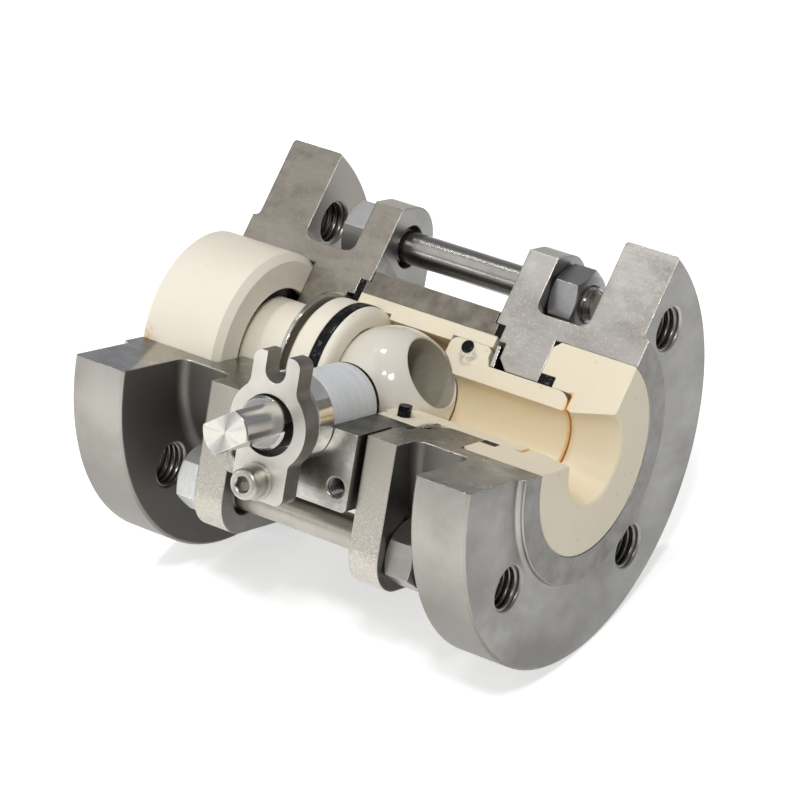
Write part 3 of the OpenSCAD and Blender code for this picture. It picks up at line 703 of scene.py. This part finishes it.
# The gland plate: bead blasted on its face, plainly milled on its sides, which are coloured far darker than
# the face; painted highlight and wear along its edges
def makeGlandPlate(values):
    material, tree, place = newMaterial("blastedPlate")
    grit = noise(tree, place, 1900.0, 4.0, 0.6)
    milled = noise(tree, stretch(tree, place, (300, 2400, 300)), 1.0, 3.0)
    broad = patchy(tree, place, 95.0)
    soft = useGroup(tree, softEdges, Width=0.25 * mm)
    onFace = facesStem(tree)
    spot = split(tree, place)
    inHole = calc(tree, "LESS_THAN", fromAxis(tree, spot["X"], spot["Z"]), values["holeRadius"])
    tone = blendColour(tree, broad, values["side"], values["sideDark"])
    tone = blendColour(tree, inHole, tone, values["hole"])
    face = blendColour(tree, broad, values["face"], values["faceDark"])
    tone = blendColour(tree, onFace, tone, face)
    # Painted highlight and wear along the edges
    tone = tint(tree, tone, values["edge"], soft["Edge"], 0.35)
    roughness = around(tree, broad, values["roughness"], 0.06, 0.06)
    height = blendValue(tree, onFace, milled, grit)
    finishSurface(tree, tone, roughness, height, soft["Round Normal"], 0.12, 0.05 * mm, metal)
    return material


ivoryValues = {
    "outer": (0.93, 0.875, 0.76), "outerShade": (0.87, 0.79, 0.64),
    "cut": (0.90, 0.82, 0.65), "cutShade": (0.84, 0.73, 0.54),
    # The bore colours and the cavity colour below are painted tan shade
    "bore": (0.89, 0.785, 0.58), "boreShade": (0.82, 0.68, 0.45), "boreRadius": 13.0 * mm,
    "chamber": (0.93, 0.75, 0.49), "chamberHalf": 9.85 * mm, "chamberRadius": 17.8 * mm,
    "roughness": 0.40, "cutRoughness": 0.55,
    "pit": (0.50, 0.39, 0.26), "rust": (0.80, 0.52, 0.12), "smudge": (0.50, 0.47, 0.40),
    "stain": (0.86, 0.50, 0.16), "stainRadius": 14.6 * mm, "stainBlur": 0.6 * mm,
    "body": {"Subsurface Weight": 0.12, "Subsurface Radius": (0.9, 0.6, 0.35), "Subsurface Scale": 0.003,
             "Specular IOR Level": 0.5},
}
# The right liner and seat: the ivory with painted shade outside, darker and yellower than the directly lit
# left side
rightShadedIvoryValues = {**ivoryValues, "outer": (0.90, 0.82, 0.645), "outerShade": (0.84, 0.75, 0.56)}
ivoryMarks = {
    "rust": ((-62.5, -26.3, 0.5), 0.0, 4.5 * mm),         # middle in millimetres, where it fades and ends
    "smudge": ((16.6, 7.5, 13.0), 2.0 * mm, 3.2 * mm),    # the same, on the upper cut
    "stain": (48.5 * mm, 50.3 * mm),                      # from and to, along the pipe
}


# 1 up to one distance from a point and 0 past another
def near(tree, place, middle, full, gone):
    away = vectorCalc(tree, "DISTANCE", place, tuple(c * mm for c in middle))["Value"]
    return remap(tree, away, full, gone, 1.0, 0.0)


# Ceramic: pale and smooth outside, drier where it is cut, with painted tan shade in the bore and in the
# cavity round the ball
def makeIvory(name, values, rust=None, stain=None, smudge=None):
    material, tree, place = newMaterial(name)
    cuts = useGroup(tree, cutFaces, Position=place)
    broad = patchy(tree, place, 45.0)
    cloud = patchy(tree, place, 210.0)
    fine = noise(tree, place, 2200.0, 3.0)
    grains = useGroup(tree, specks, Position=place, Density=520.0, Share=0.02)["Specks"]
    soft = useGroup(tree, softEdges, Width=0.25 * mm)
    x, y, z = split(tree, place)
    radius = fromAxis(tree, y, z)
    bore = values["boreRadius"]
    inBore = remap(tree, radius, bore - 1.5 * mm, bore + 0.5 * mm, 1.0, 0.0)
    inChamber = times(tree, calc(tree, "LESS_THAN", calc(tree, "ABSOLUTE", x), values["chamberHalf"]),
                      calc(tree, "LESS_THAN", radius, values["chamberRadius"]))
    tone = tint(tree, values["outer"], values["outerShade"], broad, 0.5)
    boreShadeTone = tint(tree, values["bore"], values["boreShade"], broad, 0.5)
    cutTone = tint(tree, values["cut"], values["cutShade"], broad, 0.3)
    cutTone = tint(tree, cutTone, values["cutShade"], cloud, 0.2)
    # Painted shade: tan in the bore and in the cavity round the ball
    tone = blendColour(tree, inBore, tone, boreShadeTone)
    tone = blendColour(tree, inChamber, tone, values["chamber"])
    tone = blendColour(tree, cuts["Any Cut"], tone, cutTone)
    tone = tint(tree, tone, values["pit"], grains, 0.25)
    ragged = remap(tree, noise(tree, place, 900.0, 4.0, 0.7), 0.42, 0.62)
    if rust:
        tone = tint(tree, tone, values["rust"], near(tree, place, *rust), ragged, clamp=True)
    if stain:
        start, end = stain
        band = times(tree, remap(tree, x, start, start + values["stainBlur"]),
                     remap(tree, x, end - values["stainBlur"], end, 1.0, 0.0))
        band = times(tree, band, calc(tree, "LESS_THAN", radius, values["stainRadius"]))
        tone = tint(tree, tone, values["stain"], band, remap(tree, ragged, 0, 1, 0.7, 1.0), clamp=True)
    if smudge:
        spot = times(tree, near(tree, place, *smudge), cuts["Upper Cut"])
        smear = remap(tree, noise(tree, place, 620.0, 3.0, 0.6), 0.38, 0.56, 0.0, 0.85)
        tone = tint(tree, tone, values["smudge"], spot, smear)
    roughness = blendValue(tree, cuts["Any Cut"], values["roughness"], values["cutRoughness"])
    roughness = calc(tree, "MULTIPLY_ADD", broad, 0.08, roughness)
    finishSurface(tree, tone, roughness, fine, soft["Round Normal"], 0.10, 0.04 * mm, values["body"])
    return material


ballValues = {
    # bore: painted shade inside the ball's bore, darker and greyer than the glaze
    "glaze": (0.80, 0.76, 0.68), "bore": (0.47, 0.44, 0.355), "rim": (0.70, 0.62, 0.48),
    "boreRadius": 9.65 * mm, "turn": math.radians(35), "roughness": 0.10, "boreRoughness": 0.24,
    "body": {"Coat Weight": 0.3, "Coat Roughness": 0.07, "Subsurface Weight": 0.08,
             "Subsurface Radius": (0.8, 0.6, 0.4), "Subsurface Scale": 0.002},
}


def makeBallGlaze(values):
    material, tree, place = newMaterial("ballGlaze")
    along = stretch(tree, place, turn=(0, values["turn"], 0))        # X now runs through the bore
    spot = split(tree, along)
    off = fromAxis(tree, spot["Y"], spot["Z"])
    bore = values["boreRadius"]
    inside = calc(tree, "LESS_THAN", off, bore)
    lip = remap(tree, off, bore + 0.1 * mm, bore + 1.1 * mm, 1.0, 0.0)
    broad = patchy(tree, place, 60.0)
    wavy = noise(tree, place, 160.0, 2.0)
    honed = noise(tree, stretch(tree, along, (90, 900, 900)), 1.0, 3.0)
    soft = useGroup(tree, softEdges, Width=0.4 * mm)
    tone = tint(tree, values["glaze"], tuple(c * 0.9 for c in values["glaze"]), broad, 0.3)
    tone = tint(tree, tone, values["rim"], lip, 0.5, clamp=True)
    # Painted shade: the bore darker and greyer than the glaze, with honing marks
    boreShadeTone = blendColour(tree, honed, values["bore"], tuple(c * 0.8 for c in values["bore"]))
    tone = blendColour(tree, inside, tone, boreShadeTone)
    roughness = blendValue(tree, inside, values["roughness"], values["boreRoughness"])
    finishSurface(tree, tone, roughness, wavy, soft["Round Normal"], 0.03, 0.04 * mm, values["body"])
    return material


packingValues = {
    "white": (0.80, 0.825, 0.85), "shade": (0.66, 0.69, 0.73), "roughness": 0.34,
    "body": {"Subsurface Weight": 0.25, "Subsurface Radius": (0.7, 0.8, 1.0), "Subsurface Scale": 0.003},
}


def makePacking(values):
    material, tree, place = newMaterial("packingWhite")
    rings = remap(tree, noise(tree, stretch(tree, place, (40, 560, 40)), 1.0, 2.0), 0.35, 0.65)
    broad = patchy(tree, place, 120.0)
    soft = useGroup(tree, softEdges, Width=0.4 * mm)
    tone = tint(tree, values["white"], values["shade"], rings, 0.5)
    roughness = around(tree, broad, values["roughness"], 0.06, 0.10)
    finishSurface(tree, tone, roughness, rings, soft["Round Normal"], 0.12, 0.08 * mm, values["body"])
    return material


rubberValues = {
    "black": (0.004, 0.004, 0.005), "bloom": (0.012, 0.0115, 0.011), "dust": (0.12, 0.11, 0.10),
    "roughness": 0.30, "wetRoughness": 0.12, "shine": 0.12, "glint": 0.9,
}


# Black rubber that glints where grease wets it
def makeRubber(values):
    material, tree, place = newMaterial("sealRubber")
    broad = patchy(tree, place, 300.0)
    fine = noise(tree, place, 3000.0, 3.0)
    dust = useGroup(tree, specks, Position=place, Density=1800.0, Share=0.12)["Specks"]
    tone = tint(tree, values["black"], values["bloom"], broad, 0.35)
    tone = tint(tree, tone, values["dust"], dust, 0.4)
    wet = remap(tree, noise(tree, place, 760.0, 3.0, 0.6), 0.56, 0.66)
    shine = {"Specular IOR Level": blendValue(tree, wet, values["shine"], values["glint"])}
    roughness = around(tree, broad, values["roughness"], 0.12, 0.15)
    roughness = blendValue(tree, wet, roughness, values["wetRoughness"])
    finishSurface(tree, tone, roughness, fine, None, 0.2, 0.05 * mm, shine)
    return material


def dress(names, material):
    for name in names.split():
        mesh = nodes[name].data
        mesh.materials.clear()
        mesh.materials.append(material)


steels = {name: makePlainSteel(name, *values) for name, values in plainSteels.items()}
dress("left_end_body right_end_body", makeBodySteel("bodySteel", bodySteelValues))
dress("centre_body", makeCentreSteel(centreValues))
dress("left_end_liner", makeIvory("leftLinerIvory", ivoryValues, rust=ivoryMarks["rust"]))
dress("body_liner left_seat", makeIvory("ivory", ivoryValues))
dress("right_end_liner right_seat", makeIvory("stainedAndShadedIvory", rightShadedIvoryValues, stain=ivoryMarks["stain"],
                                              smudge=ivoryMarks["smudge"]))
dress("ball", makeBallGlaze(ballValues))
dress("stem", makeStemSteel(stemValues))
dress(" ".join(f"packing_ring_{i}" for i in range(1, 6)), makePacking(packingValues))
dress("gland_ring", steels["mirrorSteel"])
dress("gland_plate", makeGlandPlate(plateValues))
dress("gland_washer", steels["screwSteel"])
dress("gland_screw", makeScrewSteel(screwValues, nodes["gland_screw"].data))
dress("left_disc_spring right_disc_spring", steels["springSteel"])
rubber = makeRubber(rubberValues)
dress("stem_seal left_seat_seal right_seat_seal left_neck_seal right_neck_seal", rubber)
dress("left_body_gasket right_body_gasket", rubber)
dress("upper_tie_rod front_tie_rod rear_tie_rod", steels["rodSteel"])
dress("upper_left_nut upper_right_nut rear_left_nut rear_right_nut", steels["nutSteel"])
# The front left nut takes the copy of the nut steel with painted light
dress("front_left_nut", steels["nutPaintedLight"])
dress("front_right_nut", steels["nutWarm"])
print("materials given")

# Ridges in the tapped holes; the places of the holes are in millimetres
flangeThreads = {
    "corner": 30.05, "start": 46.25, "end": 60.85,
    "ridge": {"Wall Radius": 6.0 * mm, "Height": 0.86 * mm, "Pitch": 1.75 * mm, "Length": 14.6 * mm,
              "Steps": 40},
}
padThreads = {
    "spread": 15.1, "start": 35.3,
    "ridge": {"Wall Radius": 2.5 * mm, "Height": 0.38 * mm, "Pitch": 0.8 * mm, "Length": 8.1 * mm,
              "Steps": 28},
}
tieRods = {
    "shankRadius": 4.5, "coreRadius": 4.22, "rodHalf": 39.6, "threadFrom": 21.4, "threadTo": 38.9,
    "shoulderLength": 0.4, "shoulderDrop": 0.3, "runOut": 0.5, "tipBevel": 0.7, "smoothFrom": mm * mm,
    "ridge": {"Wall Radius": 4.27 * mm, "Height": 0.63 * mm, "Pitch": 1.5 * mm, "Length": 17.5 * mm,
              "Steps": 36},
}


# A ridge of diamond section that winds about Z, set on every point of the mesh it is given
def makeThreadTree():
    tree = bpy.data.node_groups.new("screwThread", "GeometryNodeTree")
    tree.is_modifier = True
    face = tree.interface
    face.new_socket("Geometry", in_out="INPUT", socket_type="NodeSocketGeometry")
    for label in ("Wall Radius", "Height", "Pitch", "Length"):
        face.new_socket(label, in_out="INPUT", socket_type="NodeSocketFloat")
    face.new_socket("Steps", in_out="INPUT", socket_type="NodeSocketInt")
    face.new_socket("Finish", in_out="INPUT", socket_type="NodeSocketMaterial")
    face.new_socket("Geometry", in_out="OUTPUT", socket_type="NodeSocketGeometry")
    add = tree.nodes.new
    link = tree.links.new
    given, end = add("NodeGroupInput").outputs, add("NodeGroupOutput")
    turns = add("ShaderNodeMath")
    turns.operation = "DIVIDE"
    link(given["Length"], turns.inputs[0])
    link(given["Pitch"], turns.inputs[1])
    path = add("GeometryNodeCurveSpiral")
    link(given["Steps"], path.inputs["Resolution"])
    link(turns.outputs[0], path.inputs["Rotations"])
    link(given["Wall Radius"], path.inputs["Start Radius"])
    link(given["Wall Radius"], path.inputs["End Radius"])
    link(given["Length"], path.inputs["Height"])
    upright = add("GeometryNodeSetCurveNormal")
    upright.mode = "Z_UP"
    link(path.outputs[0], upright.inputs["Curve"])
    section = add("GeometryNodeCurvePrimitiveCircle")
    section.inputs["Resolution"].default_value = 4
    link(given["Height"], section.inputs["Radius"])
    sweep = add("GeometryNodeCurveToMesh")
    sweep.inputs["Fill Caps"].default_value = True
    link(upright.outputs[0], sweep.inputs["Curve"])
    link(section.outputs[0], sweep.inputs["Profile Curve"])
    spots = add("GeometryNodeMeshToPoints")
    link(given["Geometry"], spots.inputs["Mesh"])
    place = add("GeometryNodeInstanceOnPoints")
    link(spots.outputs[0], place.inputs["Points"])
    link(sweep.outputs[0], place.inputs["Instance"])
    real = add("GeometryNodeRealizeInstances")
    finish = add("GeometryNodeSetMaterial")
    link(place.outputs[0], real.inputs[0])
    link(real.outputs[0], finish.inputs["Geometry"])
    link(given["Finish"], finish.inputs["Material"])
    link(finish.outputs[0], end.inputs[0])
    return tree


threadTree = makeThreadTree()


def fixNormals(mesh):
    work = bmesh.new()
    work.from_mesh(mesh)
    bmesh.ops.remove_doubles(work, verts=work.verts, dist=1e-7)
    bmesh.ops.recalc_face_normals(work, faces=work.faces)
    work.to_mesh(mesh)
    work.free()


# Winds a thread at each point; the points and the result are first in a frame whose Z is the thread's axis
def windThreads(name, points, ridge, turn, material):
    mesh = bpy.data.meshes.new(name)
    mesh.from_pydata([tuple(c * mm for c in p) for p in points], [], [])
    piece = bpy.data.objects.new(name, mesh)
    scene.collection.objects.link(piece)
    modifier = piece.modifiers.new("thread", "NODES")
    modifier.node_group = threadTree
    settings = {**ridge, "Finish": material}
    for item in threadTree.interface.items_tree:
        if item.in_out == "INPUT" and item.name in settings:
            modifier[item.identifier] = settings[item.name]
    bpy.context.view_layer.update()
    solid = bpy.data.meshes.new_from_object(piece.evaluated_get(bpy.context.evaluated_depsgraph_get()))
    piece.modifiers.remove(modifier)
    solid.transform(turn)
    piece.data = solid
    fixNormals(solid)
    return piece


alongPipe = toFrame @ Matrix.Rotation(math.pi / 2, 4, "Y")       # local Z to the valve's +X
alongStem = toFrame @ Matrix.Rotation(math.pi / 2, 4, "X")       # local Z to the valve's -Y
corner = flangeThreads["corner"]
corners = ((corner, corner), (corner, -corner), (-corner, -corner))      # y and z: upper, rear, front
starts = (-flangeThreads["end"], flangeThreads["start"])
flangeHoles = [(-z, y, x) for y, z in corners for x in starts]
spread = padThreads["spread"]
padHoles = [(x, -spread, padThreads["start"]) for x in (-spread, spread)]
for name, holes, values, turn in (("flange_threads", flangeHoles, flangeThreads, alongPipe),
                                  ("pad_threads", padHoles, padThreads, alongStem)):
    threads = windThreads(name, holes, values["ridge"], turn, steels["threadSteel"])
    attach(threads, "valve_body")
print("tapped holes threaded")


# A ring of vertices about Z through (x, y), in millimetres
def addRing(work, radius, place, steps, x=0.0, y=0.0):
    turns = [2 * math.pi * i / steps for i in range(steps)]
    return [work.verts.new(((x + radius * math.cos(a)) * mm, (y + radius * math.sin(a)) * mm, place * mm))
            for a in turns]


# Side faces from each ring to the next one
def joinRings(work, rings):
    faces = []
    for a, b in zip(rings, rings[1:]):
        for i in range(len(a)):
            j = (i + 1) % len(a)
            faces.append(work.faces.new((a[i], a[j], b[j], b[i])))
    return faces


# A turned bar with its axis at y and z: [radius, place along the bar] in millimetres, spun about local Z
def spinBar(work, points, y, z, steps=120):
    rings = [addRing(work, radius, place, steps, -z, y) for radius, place in points]
    joinRings(work, rings)
    work.faces.new(rings[0][::-1])
    work.faces.new(rings[-1])


def makeTieRod(name, node, y, z, values, material):
    half, start, bevel = values["rodHalf"], values["threadFrom"], values["tipBevel"]
    shank, core = values["shankRadius"], values["coreRadius"]
    ends = [(-z, y, start), (-z, y, -values["threadTo"])]
    piece = windThreads(name, ends, values["ridge"], Matrix(), material)
    work = bmesh.new()
    work.from_mesh(piece.data)
    side = [(shank, start - values["shoulderLength"]), (shank - values["shoulderDrop"], start),
            (core, start + values["runOut"]), (core, half - bevel), (core - bevel, half)]
    spinBar(work, [(r, -x) for r, x in reversed(side)] + side, y, z)
    work.to_mesh(piece.data)
    work.free()
    fixNormals(piece.data)
    piece.data.transform(alongPipe)
    piece.data.materials.clear()
    piece.data.materials.append(material)
    for face in piece.data.polygons:
        face.material_index = 0
        face.use_smooth = face.area > values["smoothFrom"] and abs(face.normal.x) < 0.5      # the shank only
    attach(piece, "valve_body")
    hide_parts(node)


for name, (y, z) in zip(("upper", "rear", "front"), corners):
    finish = steels["rodSatin" if name == "front" else "rodSteel"]
    makeTieRod(f"{name}_threaded_rod", f"{name}_tie_rod", y, z, tieRods, finish)
print("tie rods threaded")

# The lip that squeezing has pressed out of the left seat seal: [radius, place along the pipe] in millimetres
sealLip = {
    "steps": 160,
    "section": [(19.205, -15.90), (19.33, -15.84), (19.42, -15.55), (19.455, -15.00), (19.46, -14.20),
                (19.455, -13.40), (19.42, -12.85), (19.33, -12.56), (19.205, -12.50)],
}


def makeSealLip(values, material):
    work = bmesh.new()
    rings = [addRing(work, radius, place, values["steps"]) for radius, place in values["section"]]
    for face in joinRings(work, rings + rings[:1]):
        face.smooth = True
    bmesh.ops.recalc_face_normals(work, faces=work.faces)
    mesh = bpy.data.meshes.new("left_seal_lip")
    work.to_mesh(mesh)
    work.free()
    mesh.transform(alongPipe)
    mesh.materials.append(material)
    piece = bpy.data.objects.new("left_seal_lip", mesh)
    scene.collection.objects.link(piece)
    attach(piece, "valve_body")


makeSealLip(sealLip, rubber)
print("seal lip pressed out")
